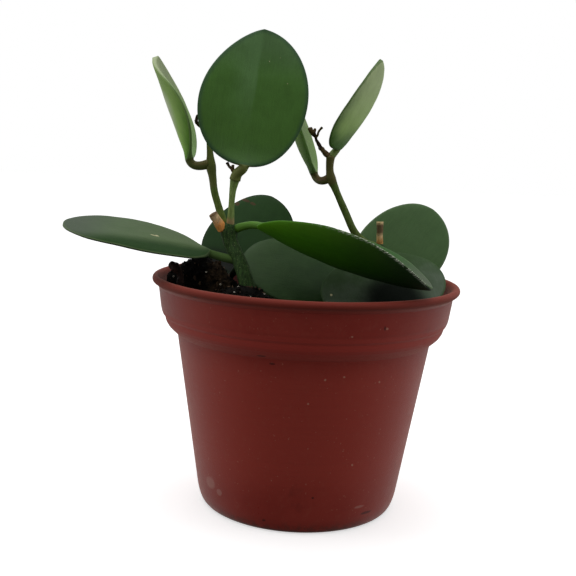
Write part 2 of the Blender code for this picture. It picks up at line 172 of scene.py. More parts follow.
LEAVES = {
    "leaf_upper_left": Leaf(
        (-35.2, -5, 116.1), (-38.2, -5, 114.9), (-40.9, -5, 117.5), (-53.2, -5, 150.6),
        face=(0.91, 0.10, 0.50), widths=(15.3, 16.2), widest=(0.57, 0.38), base_round=(0.56, 0.48),
        tip_round=(0.9, 0.3), cup=(4.6, 4.7), sag=0.1, twist=(15, -1.6), stalk=1.4, blunt=0.36,
        tip_thick=0.76),
    "leaf_upper_middle": Leaf(
        (-24.6, -12.9, 112.8), (-24.2, -13.4, 115), (-21.9, -15, 116.4), (-17.3, -10, 160.2),
        face=(0.18, -0.98, 0.10), widths=(17.8, 17.5), widest=(0.425, 0.51),
        base_round=(0.59, 0.42), tip_round=(0.745, 0.51), cup=(1.5, 1.5), sag=0, stalk=1.6,
        fold=0.9),
    "leaf_lower_left": Leaf(
        (-25.2, -12, 85.6), (-28.4, -12, 85.9), (-32.4, -12, 87), (-79.2, -20, 95.6),
        face=(0.19, -0.13, 0.97), widths=(17.5, 17.5), base_round=(0.56, 0.6),
        tip_round=(0.45, 0.45), cup=(0.6, 1), sag=-0.7, stalk=1.35),
    "leaf_lower_front": Leaf(
        (-23, -10.4, 96), (-20.5, -11.4, 97.1), (-15.3, -14, 97), (37.7, -40, 82.7),
        face=(0.29, 0.04, 0.96), widths=(16.5, 16.5), base_round=(0.42, 0.42), tip_round=(0.5, 0.5),
        cup=(9.8, 10.7), sag=2.8, twist=(0, 8.5), stalk=1.25),
    "leaf_back_left": Leaf(
        (-22.4, -9.7, 84.6), (-23.5, -1, 81), (-27, 7, 78.5), (-13.7, 18, 105.3),
        face=(-0.15, -0.92, 0.36), widths=(15.4, 15), widest=(0.33, 0.54), base_round=(0.42, 0.5)),
    "leaf_low_middle": Leaf(
        (21.3, 4.5, 79), (17, 2.6, 78.8), (10.5, 0, 79.3), (-22.5, -5, 83.1),
        face=(0.19, -0.68, 0.71), widths=(13.8, 14.5), widest=(0.4, 0.5), tip_round=(0.6, 0.5)),
    "leaf_low_right": Leaf(
        (23.4, 3.1, 87.6), (22.6, 2, 88.4), (21.3, -0.3, 87.6), (30, -24.5, 70.1),
        face=(-0.05, -0.62, 0.78), widths=(21, 21), base_round=(0.45, 0.45), tip_round=(0.45, 0.45),
        stalk=1),
    "leaf_back_right": Leaf(
        (23.8, 8, 75.8), (23.8, 11.5, 74.4), (23.9, 16, 74.9), (45.4, 26, 102.9),
        face=(-0.06, -0.93, 0.37), widths=(15.6, 15.6), widest=(0.42, 0.52),
        tip_round=(0.49, 0.49)),
    "leaf_upper_inner": Leaf(
        (5.3, 2.8, 112.7), (3.4, 4.2, 111.4), (1, 8, 114.5), (-10.1, 8, 146.5),
        face=(0.92, -0.06, 0.37), widths=(14, 14), base_round=(0.54, 0.39), cup=(2.7, 3.6), sag=2,
        twist=(5.2, -6), stalk=1.3, blunt=0.4),
    "leaf_upper_right": Leaf(
        (6.6, 2.8, 120.8), (7.4, 3.5, 122), (8.7, 5, 123.8), (21, -7, 152.6),
        face=(-0.84, 0.25, 0.47), widths=(14.8, 15.5), widest=(0.41, 0.41), base_round=(0.5, 0.66),
        tip_round=(0.8, 0.64), cup=(1.3, 1.7), sag=1.6, twist=(0.7, -1.7), stalk=1.25, blunt=0.4),
}

# Stems: points along the middle, each with its radius
STEMS = {
    "cutting_left": (
        (-15.8, -14, 54, 2.5), (-19.3, -14, 77, 2.6), (-22.5, -12.4, 85.3, 2.35),
        (-25.7, -10.2, 91.2, 2.5), (-26.5, -9.6, 94.6, 2.85), (-26.5, -9.5, 96.2, 2.6)),
    "cutting_right": (
        (21, 4, 54, 2.15), (23.8, 5.4, 78, 2.15), (24.8, 5.9, 86, 2.3), (25.1, 6, 89, 2.6),
        (25.1, 6, 90.6, 1.8)),
}
SHOOTS = {
    "shoot_left_back": (
        (-28.1, -7.6, 96.5, 1.35), (-30.3, -6.7, 102, 1.25), (-32, -6.2, 107.2, 1.25),
        (-33, -5.4, 112.6, 1.35), (-33.6, -5, 115.6, 1.7), (-34.1, -4.2, 119.6, 1.15),
        (-35.4, -2, 126.9, 0.85), (-36.8, -1, 130.2, 0.7)),
    "shoot_left_front": (
        (-26, -9.9, 96.6, 1.45), (-25.9, -10.6, 99.6, 1.15), (-25.4, -12, 108.4, 1.15),
        (-24.7, -12.5, 112.4, 1.7)),
    "shoot_right": (
        (22.7, 4.9, 90.6, 1.4), (19.6, 3.4, 91.7, 1.45), (16.3, 2, 94.7, 1.35),
        (12.3, 2, 102.1, 1.25), (8.2, 2, 110.4, 1.3), (6.8, 2, 113.3, 1.7), (6.3, 2, 115.8, 1.3),
        (6.2, 2, 118.2, 1.35), (6.3, 2, 120.3, 1.5)),
}
CUT_ENDS = {
    "cut_end_left": ((-29.1, -10.8, 96.2, 1.7), (-31.8, -11.8, 100.3, 1.45)),
    "cut_end_right": ((25, 6, 91.2, 1.2), (24.9, 6, 95, 1.05), (24.7, 6, 98.9, 1.2)),
}
TENDRILS = {
    "tendril_left_back": (
        (-36.9, -0.9, 130.6, 0.65), (-37.5, 0, 132.7, 0.6), (-38.8, 0, 132.5, 0.6),
        (-39.5, 0, 131.1, 0.6), (-39.3, 0, 129.7, 0.55), (-38.1, 0, 128.5, 0.45)),
    "tendril_left_front": (
        (-24.9, -12, 114, 0.9), (-25.7, -12, 115.1, 0.7), (-26.6, -12, 115.8, 0.5),
        (-27.6, -12, 117.1, 0.55)),
    "tendril_right": (
        (5.4, 2, 120.8, 1.1), (3.9, 2, 122.3, 0.85), (2.4, 2, 124, 0.7), (1.2, 2, 126, 0.5),
        (0.9, 2, 127, 0.55), (0.1, 2, 128, 0.8), (-0.6, 2, 129.2, 0.6), (-0.9, 2, 130, 0.45)),
}
BRANCHES = {  # side tips of the tendrils
    "tendril_right": (
        ((0.9, 2, 126.8, 0.5), (1.5, 1.7, 127.6, 0.4), (1.9, 1.6, 128.9, 0.35),
         (2.9, 1.8, 130.2, 0.45)),
        ((0.1, 2, 127.8, 0.7), (-0.8, 1.6, 129, 0.85), (-1.5, 1.4, 129.7, 0.55)),
        ((0.2, 2.2, 128, 0.6), (0.4, 2.6, 129, 0.55), (0.6, 2.8, 129.7, 0.4))),
    "tendril_left_front": (
        ((-25.4, -12, 114.8, 0.6), (-25.6, -12.1, 115.6, 0.45), (-25.7, -12.2, 116.4, 0.5)),),
}
TWIG = (
    (-41.4, -11, 68, 1.3), (-41.8, -12, 76.7, 1.3), (-42, -12, 79.6, 1),
    (-43.5, -12, 81.8, 1.6), (-45.2, -12, 83, 1.2))


def paint(colour):
    """A colour given as it looks on a screen, 0 to 255, as linear values."""
    return tuple(((value / 255 + 0.055) / 1.055) ** 2.4 if value > 10 else value / 255 / 12.92
                 for value in colour) + (1.0,)


def maths(operation):
    """A method that adds a Math node to the tree of the socket it is called on."""
    def method(self, *others):
        return self.graph.node("ShaderNodeMath", dict(enumerate((self, *others))),
                               operation=operation)
    return method


class Sock:
    """A node's output in a Python expression: each operator adds a Math node to its tree."""
    __add__ = __radd__ = maths("ADD")
    __sub__ = maths("SUBTRACT")
    __mul__ = __rmul__ = maths("MULTIPLY")
    __truediv__ = maths("DIVIDE")
    __pow__ = maths("POWER")
    __abs__ = maths("ABSOLUTE")
    most = maths("MAXIMUM")
    floor = maths("FLOOR")
    cosine = maths("COSINE")
    sine = maths("SINE")

    def __init__(self, graph, socket):
        self.graph = graph
        self.socket = socket

    def __rsub__(self, other):
        return self * -1.0 + other

    def out(self, name):
        """Another output of the same node."""
        return Sock(self.graph, self.socket.node.outputs[name])

    def rise(self, low, high):
        """0 below low and 1 above high, with a smooth step between; low may be the greater."""
        return self.graph.node("ShaderNodeMapRange", {
            "Value": self, "From Min": low, "From Max": high}, interpolation_type="SMOOTHSTEP")


class Graph:
    """Adds nodes to a tree; a kind without a prefix is one of the tree's own."""
    prefix = "ShaderNode"

    def __init__(self, tree):
        self.tree = tree

    def node(self, kind, inputs=None, output=0, **settings):
        """One node: its settings first, then the values or links of its sockets."""
        made = self.tree.nodes.new(kind if "Node" in kind else self.prefix + kind)
        for name, value in settings.items():
            setattr(made, name, value)
        for name, value in (inputs or {}).items():
            self.feed(made.inputs[name], value)
        return Sock(self, made.outputs[output])

    def feed(self, socket, value):
        if isinstance(value, Sock):
            self.tree.links.new(value.socket, socket)
        else:
            socket.default_value = value

    def vector(self, *numbers):
        return self.node("ShaderNodeCombineXYZ", dict(enumerate(numbers)))

    def parts(self, vector):
        """The three numbers of a vector."""
        first = self.node("ShaderNodeSeparateXYZ", {0: vector})
        return first, first.out("Y"), first.out("Z")


class Finish(Graph):
    """A material in the making: a tone to which others are added, and its Principled shader."""

    def __init__(self, name, constants, tone=(255, 255, 255)):
        self.material = bpy.data.materials.new(name)
        self.material.use_nodes = True
        super().__init__(self.material.node_tree)
        self.colour = paint(tone)
        self.shader = self.tree.nodes["Principled BSDF"]
        for socket, value in constants.items():
            self.shader.inputs[socket].default_value = value

    @cached_property
    def place(self):
        """The place on the object in millimetres."""
        return self.stretch(self.node("TexCoord", output="Object"), (1 / MM,) * 3)

    def stretch(self, coords, scale):
        return self.node("Mapping", {"Vector": coords, "Scale": scale})

    def speckle(self, scale, detail, roughness, stretch=None, coords=None):
        """Noise around 0.5 whose grains are 1/scale of the coordinates' unit."""
        coords = coords or self.place
        if stretch:
            coords = self.stretch(coords, stretch)
        return self.node("TexNoise", {
            "Vector": coords, "Scale": scale, "Detail": detail, "Roughness": roughness})

    def lay(self):
        """The three marks stored on the mesh by skin()."""
        return self.parts(self.node("Attribute", output="Vector", attribute_name="lay"))

    def mix(self, factor, first, second, blend="MIX"):
        """A colour between first (factor 0) and second (factor 1)."""
        return self.node("Mix", {0: factor, 6: first, 7: second}, 2, data_type="RGBA",
                         blend_type=blend)

    def tint(self, factor, tone):
        """Lays a tone over the colour so far."""
        self.colour = self.mix(factor, self.colour, paint(tone))

    def finish(self, roughness, height, depth):
        """Joins colour, roughness and relief, whose height of 1 stands for depth in millimetres."""
        bump = self.node("Bump", {"Height": height, "Strength": 1.0, "Distance": depth * MM})
        for name, value in {"Base Color": self.colour, "Roughness": roughness,
                            "Normal": bump}.items():
            self.feed(self.shader.inputs[name], value)
        return self.material


def skin(name, rings, start, end, marks=None):
    """A closed mesh over rings of points, with a pole at each end; marks are stored on it."""
    count, sides = rings.shape[:2]
    points = np.concatenate([[start], rings.reshape(-1, 3), [end]])
    corner = 1 + np.arange(count * sides).reshape(count, sides)
    beside = np.roll(corner, -1, axis=1)
    quads = np.stack([corner[:-1], beside[:-1], beside[1:], corner[1:]], axis=-1).reshape(-1, 4)
    faces = quads.tolist()
    faces += [(0, b, a) for a, b in zip(corner[0].tolist(), beside[0].tolist())]
    faces += [(len(points) - 1, a, b) for a, b in zip(corner[-1].tolist(), beside[-1].tolist())]
    mesh = bpy.data.meshes.new(name)
    mesh.from_pydata((points * MM).tolist(), [], faces)
    turn_outwards(mesh)
    mesh.shade_smooth()
    if marks is not None:
        stored = mesh.attributes.new("lay", "FLOAT_VECTOR", "POINT")
        ends = (marks[0].mean(axis=0), marks[-1].mean(axis=0))
        values = np.concatenate([[ends[0]], marks.reshape(-1, 3), [ends[1]]])
        stored.data.foreach_set("vector", values.astype(np.float32).ravel())
    return mesh


def turn_outwards(mesh):
    """Flips all faces of a closed mesh if its volume comes out negative."""
    solid = bmesh.new()
    solid.from_mesh(mesh)
    if solid.calc_volume(signed=True) < 0:
        mesh.flip_normals()
    solid.free()


def in_scene(name, data):
    """A new object in the scene."""
    made = bpy.data.objects.new(name, data)
    bpy.context.scene.collection.objects.link(made)
    return made


def add_piece(name, mesh, finish, node=None):
    """Puts a finished mesh in the scene, riding with the plant; node is its solid, if any."""
    piece = in_scene(name, mesh)
    mesh.materials.clear()
    mesh.materials.append(finish)
    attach(piece, "root")
    if node:
        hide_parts(node)


def relief(points, waves):
    """How far a skin is lifted at each point, in smooth lumps either way."""
    lift = 0.0
    for size, height, seed, stretch in waves:
        flat = (points * (1, 1, stretch)).reshape(-1, 3) / size + seed
        values = [noise.noise(Vector(point)) for point in flat.tolist()]
        lift = lift + np.array(values).reshape(points.shape[:-1]) * height
    return lift


def unit(vector):
    return vector / np.linalg.norm(vector, axis=-1, keepdims=True)


def all_round(sides):
    """Angles of a ring's points."""
    return np.arange(sides) * math.tau / sides


def curve(start, bend, end, steps):
    """Points from start to end, pulled toward bend."""
    parts = np.linspace(0, 1, steps + 1)[:, None]
    return (1 - parts) ** 2 * start + 2 * parts * (1 - parts) * bend + parts ** 2 * end


def leaf_frame(leaf):
    """The blade's right, forward and upward directions, and its length."""
    span = np.subtract(leaf.tip, leaf.base)
    forward = unit(span)
    up = unit(leaf.face - forward * np.dot(leaf.face, forward))
    return np.cross(forward, up), forward, up, float(np.linalg.norm(span))


def half_width(leaf, along, side):
    """The outline: half the blade's width on one side, from the base (0) to the tip (1)."""
    bent = along ** (math.log(0.5) / math.log(leaf.widest[side]))
    power = leaf.base_round[side] if bent < 0.5 else leaf.tip_round[side]
    return leaf.widths[side] * max(0.0, 4 * bent * (1 - bent)) ** power


def blade_ring(leaf, along, turns):
    """One ring round the blade, and its marks: across and along in millimetres, and upper."""
    right, forward, up, length = leaf_frame(leaf)
    near_stalk = max(0.0, 1 - along / STALK_SWELL)
    halves = [math.hypot(half_width(leaf, along, side), leaf.stalk * near_stalk) for side in (0, 1)]
    cosine, sine = np.cos(turns), np.sin(turns)
    across = np.where(cosine >= 0, halves[1], halves[0]) * cosine
    width = max(leaf.widths)
    hump = 4 * along * (1 - along)
    end = END_THICKNESS + (leaf.tip_thick - END_THICKNESS) * along
    thick = LEAF_THICKNESS / 2 * (end + (1 - end) * hump ** leaf.blunt)
    thick = math.hypot(thick, leaf.stalk * near_stalk)
    rise = np.sign(sine) * np.abs(sine) ** FULLNESS * thick
    to_right = (1 + cosine) / 2
    cup, twist = (pair[0] + (pair[1] - pair[0]) * to_right for pair in (leaf.cup, leaf.twist))
    angle = np.radians(twist * (2 * along - 1))[:, None]
    side_way = right * np.cos(angle) + up * np.sin(angle)
    up_way = up * np.cos(angle) - right * np.sin(angle)
    share = across / width
    outward = unit(up_way - (2 * cup * share / width)[:, None] * side_way)
    crease = leaf.fold * math.sqrt(hump) * (np.hypot(share, CREASE_ROUND) - 1)
    middle = np.array(leaf.base) + forward * length * along - up * leaf.sag * hump
    ring = (middle + across[:, None] * side_way + (cup * share ** 2 + crease)[:, None] * up_way
            + outward * rise[:, None])
    return ring, np.stack([across, np.full_like(across, length * along), sine], axis=-1)


def stalk_path(leaf):
    """Points and headings along the stalk, from inside its stem to the blade."""
    start, bend, base = (Vector(point) for point in (leaf.start, leaf.bend, leaf.base))
    foot = start - (bend - start).normalized() * ROOT_DEPTH
    arrive = base - Vector(leaf_frame(leaf)[1]) * (base - start).length * STALK_PULL
    path = np.array(interpolate_bezier(foot, bend, arrive, base, STALK_RINGS + 1))
    return path, unit(np.gradient(path, axis=0))


def stalk_ring(leaf, point, heading, turns, share):
    """One ring round the stalk, which is a little thicker at its foot."""
    right = leaf_frame(leaf)[0]
    across = unit(right - heading * np.dot(right, heading))
    upward = np.cross(across, heading)
    radius = leaf.stalk * (1 + FOOT_SWELL * (1 - share) ** 3)
    cosine, sine = np.cos(turns), np.sin(turns)
    ring = point + (np.outer(cosine, across) + np.outer(sine, upward)) * radius
    return ring, np.stack([radius * cosine, np.full_like(turns, share - 1), sine], axis=-1)


def margin_distance(leaf, marks):
    """Millimetres from the blade's outline: above 0 on the upper side and below 0 under it."""
    length = leaf_frame(leaf)[3]
    steps = (1 - np.cos(np.linspace(0, math.pi, OUTLINE_STEPS))) / 2
    outline = [((side * 2 - 1) * half_width(leaf, along, side), length * along)
               for along in steps for side in (0, 1)]
    gaps = marks[..., None, :2] - np.array(outline)
    return np.sqrt((gaps ** 2).sum(axis=-1).min(axis=-1)) * np.sign(np.round(marks[..., 2], 6))


def leaf_mesh(name, leaf):
    turns = all_round(LEAF_SIDES)
    path, headings = stalk_path(leaf)
    rings = [stalk_ring(leaf, path[step], headings[step], turns, step / STALK_RINGS)
             for step in range(STALK_RINGS)]
    for step in range(1, BLADE_RINGS):
        along = (1 - math.cos(math.pi * step / BLADE_RINGS)) / 2
        rings.append(blade_ring(leaf, along, turns))
    points, marks = (np.array(part) for part in zip(*rings))
    lift = relief(points, LEAF_WAVES) * (marks[..., 1] > 0)
    points = points + lift[..., None] * leaf_frame(leaf)[2]
    marks[..., 2] = margin_distance(leaf, marks)
    return skin(name, points, path[0], np.array(leaf.tip), marks)


def smooth_path(knots, spacing):
    """Points with radii at about the given spacing, on a smooth curve through the knots."""
    knots = np.array(knots)
    spans = np.linalg.norm(np.diff(knots[:, :3], axis=0), axis=1)
    slopes = np.diff(knots, axis=0) / spans[:, None]
    bends = np.vstack([slopes[:1], (slopes[1:] + slopes[:-1]) / 2, slopes[-1:]])
    path = [knots[0]]
    for index, span in enumerate(spans):
        pulls = bends[index:index + 2] * span
        for t in np.linspace(0, 1, max(2, round(span / spacing)) + 1)[1:]:
            ease = t * t * (3 - 2 * t)
            point = knots[index] * (1 - ease) + knots[index + 1] * ease
            path.append(point + pulls[0] * t * (1 - t) ** 2 - pulls[1] * t * t * (1 - t))
    return np.array(path)


def sides_along(headings):
    """Directions across a path, carried from point to point without turning."""
    side = unit(np.cross(headings[0], (0.3, 1.0, 0.2)))
    sides = []
    for heading in headings:
        side = unit(side - heading * np.dot(side, heading))
        sides.append(side)
    return np.array(sides)


def round_end(last, heading):
    """Path points that close a tube's end with a dome, and its pole."""
    extra = []
    for step in range(1, DOME_STEPS):
        angle = math.pi / 2 * step / DOME_STEPS
        place = last[:3] + heading * (DOME * last[3]) * math.sin(angle)
        extra.append((*place, last[3] * math.cos(angle)))
    return extra, last[:3] + heading * DOME * last[3]


def tube(name, knots, waves, sides, spacing=0.5, hollow=0.0):
    """A closed stem along its knots, with relief.

    The far end is a dome, or a dish of the given depth where hollow is set.
    """
    path = smooth_path(knots, spacing)
    places = path[:, :3]
    headings = unit(np.gradient(places, axis=0))
    head, start = round_end(path[0], -headings[0])
    if hollow:
        tail = [(*(places[-1] - headings[-1] * hollow * depth), path[-1, 3] * share)
                for share, depth in DISH]
        end = places[-1] - headings[-1] * hollow
    else:
        tail, end = round_end(path[-1], headings[-1])
    lengths = np.append(0.0, np.cumsum(np.linalg.norm(np.diff(places, axis=0), axis=1)))
    across = sides_along(headings)
    upward = np.cross(headings, across)
    order = [0] * len(head) + list(range(len(path))) + [len(path) - 1] * len(tail)
    whole = np.array([*head[::-1], *path, *tail])
    turns = all_round(sides)[:, None]
    ways = across[order, None] * np.cos(turns) + upward[order, None] * np.sin(turns)
    rings = whole[:, None, :3] + ways * whole[:, None, 3:]
    rings = rings + ways * relief(rings, waves)[..., None] * np.minimum(1, whole[:, None, 3:])
    marks = np.zeros_like(rings)
    marks[..., 1] = lengths[order][:, None]
    return skin(name, rings, start, end, marks)


def sunk(knots):
    """The same knots with the first one moved back into what carries the stem."""
    first, second = np.array(knots[0][:3]), np.array(knots[1][:3])
    moved = first - unit(second - first) * ROOT_DEPTH
    return [(*moved, knots[0][3]), *knots[1:]]


def rounded(outline):
    """An outline with its corners rounded; its two ends stay."""
    points = [[outline[0]]]
    for before, corner, after in zip(outline, outline[1:], outline[2:]):
        back, ahead = unit(np.subtract(before, corner)), unit(np.subtract(after, corner))
        half = math.acos(np.clip(np.dot(back, ahead), -1, 1)) / 2
        reach = min(CORNER_RADIUS / math.tan(half), 0.45 * math.dist(before, corner),
                    0.45 * math.dist(after, corner))
        points.append(curve(corner + back * reach, np.array(corner), corner + ahead * reach,
                            CORNER_STEPS))
    return np.concatenate([*points, [outline[-1]]])


def inner_outline():
    """The pot's inner surface in (radius, height), from the middle of the floor up."""
    ring_in, ring_out = FOOT_RING
    floor = [
        (0.0, WALL), (CENTRE_DISC - 0.5, WALL),
        (CENTRE_DISC + 0.5, ARCH_HEIGHT + WALL), (ring_in - 0.3, ARCH_HEIGHT + WALL),
        (ring_in + 0.6, WALL), (ring_out - 0.3, WALL), (BODY_FOOT[0] - WALL - 0.7, WALL + 1.8)]
    outer = (BODY_FOOT, BODY_TOP, *reversed(STEP), COLLAR_FOOT, COLLAR_TOP)
    return floor + [(radius - WALL, height + INNER_RISE) for radius, height in outer]


def pot_outline():
    """The whole wall: up the inside, round the rolled lip and down the outside."""
    angles = np.radians(np.linspace(*LIP_SWEEP))[:, None]
    lip = np.concatenate([RIM_RADIUS - LIP_RADIUS + LIP_RADIUS * np.cos(angles),
                          POT_HEIGHT - LIP_RADIUS + LIP_RADIUS * np.sin(angles)], axis=1)
    ring_in, ring_out = FOOT_RING
    wall = [tuple(lip[-1]), COLLAR_TOP, COLLAR_FOOT, *STEP, BODY_TOP, BODY_FOOT]
    foot = curve(*np.array([BODY_FOOT, FOOT_BEND, (ring_out, 0.0)]), FOOT_STEPS)
    base = [
        (ring_out, 0.0), (ring_in, 0.0), (ring_in - 0.8, ARCH_HEIGHT),
        (CENTRE_DISC + 1.0, ARCH_HEIGHT), (CENTRE_DISC, 0.0), (0.0, 0.0)]
    inside = rounded(inner_outline() + [tuple(lip[0])])
    return np.concatenate([inside[:-1], lip, rounded(wall)[1:], foot[1:], rounded(base)[1:]])


def inner_wall(level):
    """Radius of the pot's inner surface at a height above its foot."""
    radii, heights = zip(*(point for point in inner_outline() if point[0] > FOOT_RING[1]))
    return float(np.interp(level, heights, radii))


def soil_height(x, y):
    """The soil's surface: a shallow dish with mounds and clods."""
    height = SOIL_LEVEL + SOIL_WALL_RISE * (math.hypot(x, y) / inner_wall(SOIL_LEVEL)) ** 4
    for centre_x, centre_y, rise, spread_x, spread_y in MOUNDS:
        reach = ((x - centre_x) / spread_x) ** 2 + ((y - centre_y) / spread_y) ** 2
        height += rise * math.exp(-0.5 * reach)
    for rise, size, start in CLODS:
        height += rise * noise.noise(Vector((x, y, 0)) / size + Vector(start))
    return height


def soil_mesh():
    """The soil: flat on the pot's floor, a gap inside its wall and lumpy on top."""
    edge = inner_wall(SOIL_LEVEL) - SOIL_GAP
    levels = [BODY_FOOT[1] + INNER_RISE, BODY_TOP[1] / 2]
    levels += [level + INNER_RISE for _, level in (BODY_TOP, *reversed(STEP[1:]))]
    side = [(FOOT_RING[1] - SOIL_GAP, SOIL_FLOOR)]
    side += [(inner_wall(level) - SOIL_GAP, level) for level in levels]
    turns = all_round(SOIL_SIDES)
    ways = np.stack([np.cos(turns), np.sin(turns), np.zeros(SOIL_SIDES)], axis=-1)
    rings = [ways * radius + (0, 0, height) for radius, height in side]
    for share in np.linspace(1, 0, SOIL_TOP_RINGS, endpoint=False):
        inward, down = SOIL_EDGE if share == 1 else (0.0, 0.0)
        flat = ways * (edge - inward) * share
        rings.append(flat + [(0, 0, soil_height(x, y) - down) for x, y, _ in flat.tolist()])
    return skin("soil_fine", np.array(rings), (0, 0, SOIL_FLOOR), (0, 0, soil_height(0, 0)))


def upper_faces(mesh, lowest):
    """A copy of a mesh that keeps only its faces above a height that look up."""
    kept = [face for face in mesh.polygons
            if face.center.z > lowest * MM and face.normal.z > STEEPEST]
    copy = bpy.data.meshes.new(mesh.name + "_top")
    copy.from_pydata([v.co for v in mesh.vertices], [], [tuple(face.vertices) for face in kept])
    return copy


class GeometryTree(Graph):
    """A Geometry Nodes tree with named inputs; it ends in Realize Instances and Set Material."""
    prefix = "GeometryNode"

    def __init__(self, name, inputs):
        tree = bpy.data.node_groups.new(name, "GeometryNodeTree")
        for label, kind in {"Geometry": "Geometry", **inputs, "Material": "Material"}.items():
            tree.interface.new_socket(label, in_out="INPUT", socket_type="NodeSocket" + kind)
        tree.interface.new_socket("Geometry", in_out="OUTPUT", socket_type="NodeSocketGeometry")
        super().__init__(tree)
        self.group = self.node("NodeGroupInput")

    def __getitem__(self, name):
        """One of the tree's inputs."""
        return self.group.out(name)

    def deliver(self, geometry):
        """The whole tree, ending with this geometry."""
        whole = self.node("RealizeInstances", {0: geometry})
        painted = self.node("SetMaterial", {"Geometry": whole, "Material": self["Material"]})
        self.feed(self.tree.nodes.new("NodeGroupOutput").inputs[0], painted)
        return self.tree

    def lump(self, number, faces):
        """A ball with an uneven surface; each number gives another shape."""
        ball = self.node("MeshIcoSphere", {"Radius": 1.0, "Subdivisions": faces})
        spot = self.node("InputPosition")
        uneven = self.node("ShaderNodeTexNoise", {
            "Vector": spot, "W": 7.3 * number, "Scale": 0.9, "Detail": 2.0}, "Color",
            noise_dimensions="4D")
        centred = self.node("ShaderNodeVectorMath", {0: uneven, 1: (0.5, 0.5, 0.5)},
                            operation="SUBTRACT")
        offset = self.node("ShaderNodeVectorMath", {0: centred, "Scale": self["Unevenness"]},
                           operation="SCALE")
        moved = self.node("SetPosition", {"Geometry": ball, "Offset": offset})
        return self.node("GeometryToInstance", {0: moved})


def grain_tree(name, scattered, fineness):
    """Grains on a mesh: scattered over its faces, or one at each of its vertices."""
    tree = GeometryTree(name, {
        "Density": "Float", "Smallest": "Float", "Largest": "Float", "Unevenness": "Float",
        "Proportions": "Vector", "Seed": "Int"})
    if scattered:
        points = tree.node("DistributePointsOnFaces", {
            "Mesh": tree["Geometry"], "Density": tree["Density"], "Seed": tree["Seed"]})
    else:
        points = tree.node("MeshToPoints", {"Mesh": tree["Geometry"]})
    shapes = tree.node("JoinGeometry")
    for number in range(GRAIN_SHAPES):
        tree.feed(shapes.socket.node.inputs[0], tree.lump(number, fineness))
    draw = tree.node("FunctionNodeRandomValue", {"Seed": tree["Seed"]}, 1, data_type="FLOAT")
    size = tree["Smallest"] + (tree["Largest"] - tree["Smallest"]) * draw ** MOSTLY_SMALL
    scale = tree.node("ShaderNodeVectorMath", {0: tree["Proportions"], "Scale": size},
                      operation="SCALE")
    turn = tree.node("FunctionNodeRandomValue", {
        0: (0, 0, 0), 1: (math.tau,) * 3, "Seed": tree["Seed"] + 1}, data_type="FLOAT_VECTOR")
    return tree.deliver(tree.node("InstanceOnPoints", {
        "Points": points, "Instance": shapes, "Pick Instance": True, "Rotation": turn,
        "Scale": scale}))


def turned_pot_tree():
    """Turns an outline of points round the Z axis and bores the drain holes through the base."""
    tree = GeometryTree("turned_pot", {
        "Turns": "Int", "Weld": "Float", "Drain Holes": "Int", "Drain Circle": "Float",
        "Drain Radius": "Float"})
    outline = tree["Geometry"]
    count = tree.node("AttributeDomainSize", {0: outline}, "Point Count")
    columns = tree["Turns"] + 1
    grid = tree.node("MeshGrid", {"Vertices X": count, "Vertices Y": columns})
    index = tree.node("InputIndex")
    row = ((index + 0.5) / columns).floor()
    radius, _, height = tree.parts(tree.node("SampleIndex", {
        "Geometry": outline, "Value": tree.node("InputPosition"), "Index": row},
        data_type="FLOAT_VECTOR"))
    angle = (index - row * columns) * math.tau / tree["Turns"]
    turned = tree.node("SetPosition", {
        "Geometry": grid,
        "Position": tree.vector(radius * angle.cosine(), radius * angle.sine(), height)})
    closed = tree.node("MergeByDistance", {"Geometry": turned, "Distance": tree["Weld"]})
    ring = tree.node("MeshCircle", {
        "Vertices": tree["Drain Holes"], "Radius": tree["Drain Circle"]})
    drill = tree.node("MeshCylinder", {
        "Vertices": DRAIN_SIDES, "Radius": tree["Drain Radius"], "Depth": 8 * ARCH_HEIGHT * MM})
    drills = tree.node("InstanceOnPoints", {"Points": ring, "Instance": drill})
    return tree.deliver(tree.node("MeshBoolean", {
        "Mesh 1": closed, "Mesh 2": tree.node("RealizeInstances", {0: drills})},
        operation="DIFFERENCE", solver="EXACT"))


def grown(name, host, tree, values):
    """The plain mesh that a Geometry Nodes tree makes from a host mesh."""
    carrier = in_scene(name + "_carrier", host)
    modifier = carrier.modifiers.new("grown", "NODES")
    modifier.node_group = tree
    sockets = {item.name: item.identifier for item in tree.interface.items_tree
               if item.in_out == "INPUT"}
    for label, value in values.items():
        modifier[sockets[label]] = value
    graph = bpy.context.evaluated_depsgraph_get()
    mesh = bpy.data.meshes.new_from_object(carrier.evaluated_get(graph))
    mesh.name = name
    carrier.modifiers.remove(modifier)
    bpy.data.objects.remove(carrier)
    return mesh


def point_cloud(name, points):
    mesh = bpy.data.meshes.new(name)
    mesh.from_pydata([Vector(point) * MM for point in points], [], [])
    return mesh


def joined(name, meshes):
    """One mesh from several closed ones."""
    whole = bmesh.new()
    for mesh in meshes:
        whole.from_mesh(mesh)
    result = bpy.data.meshes.new(name)
    whole.to_mesh(result)
    whole.free()
    result.shade_smooth()
    return result


PALE_UNDERSIDE = ((108, 166, 52), (166, 212, 100), (158, 194, 102))
# painted sheen: the upper side of a blade seen edge-on, paled as by the bright reflection on it
SHEEN_PALE_UPPER = ((152, 190, 116), (144, 158, 114))
# painted shade: the green of the shade line along a cupped blade's margin
SHADE_LINE_GREEN = (84, 142, 40)
# white of frost flecks, and of painted highlight dashes on a margin
FLECK_AND_GLINT_WHITE = (206, 214, 192)
CREAM = (214, 205, 160)
BROWN = (84, 66, 38)
# painted shade on leaves
SHADE_BLACK = (4, 11, 5)


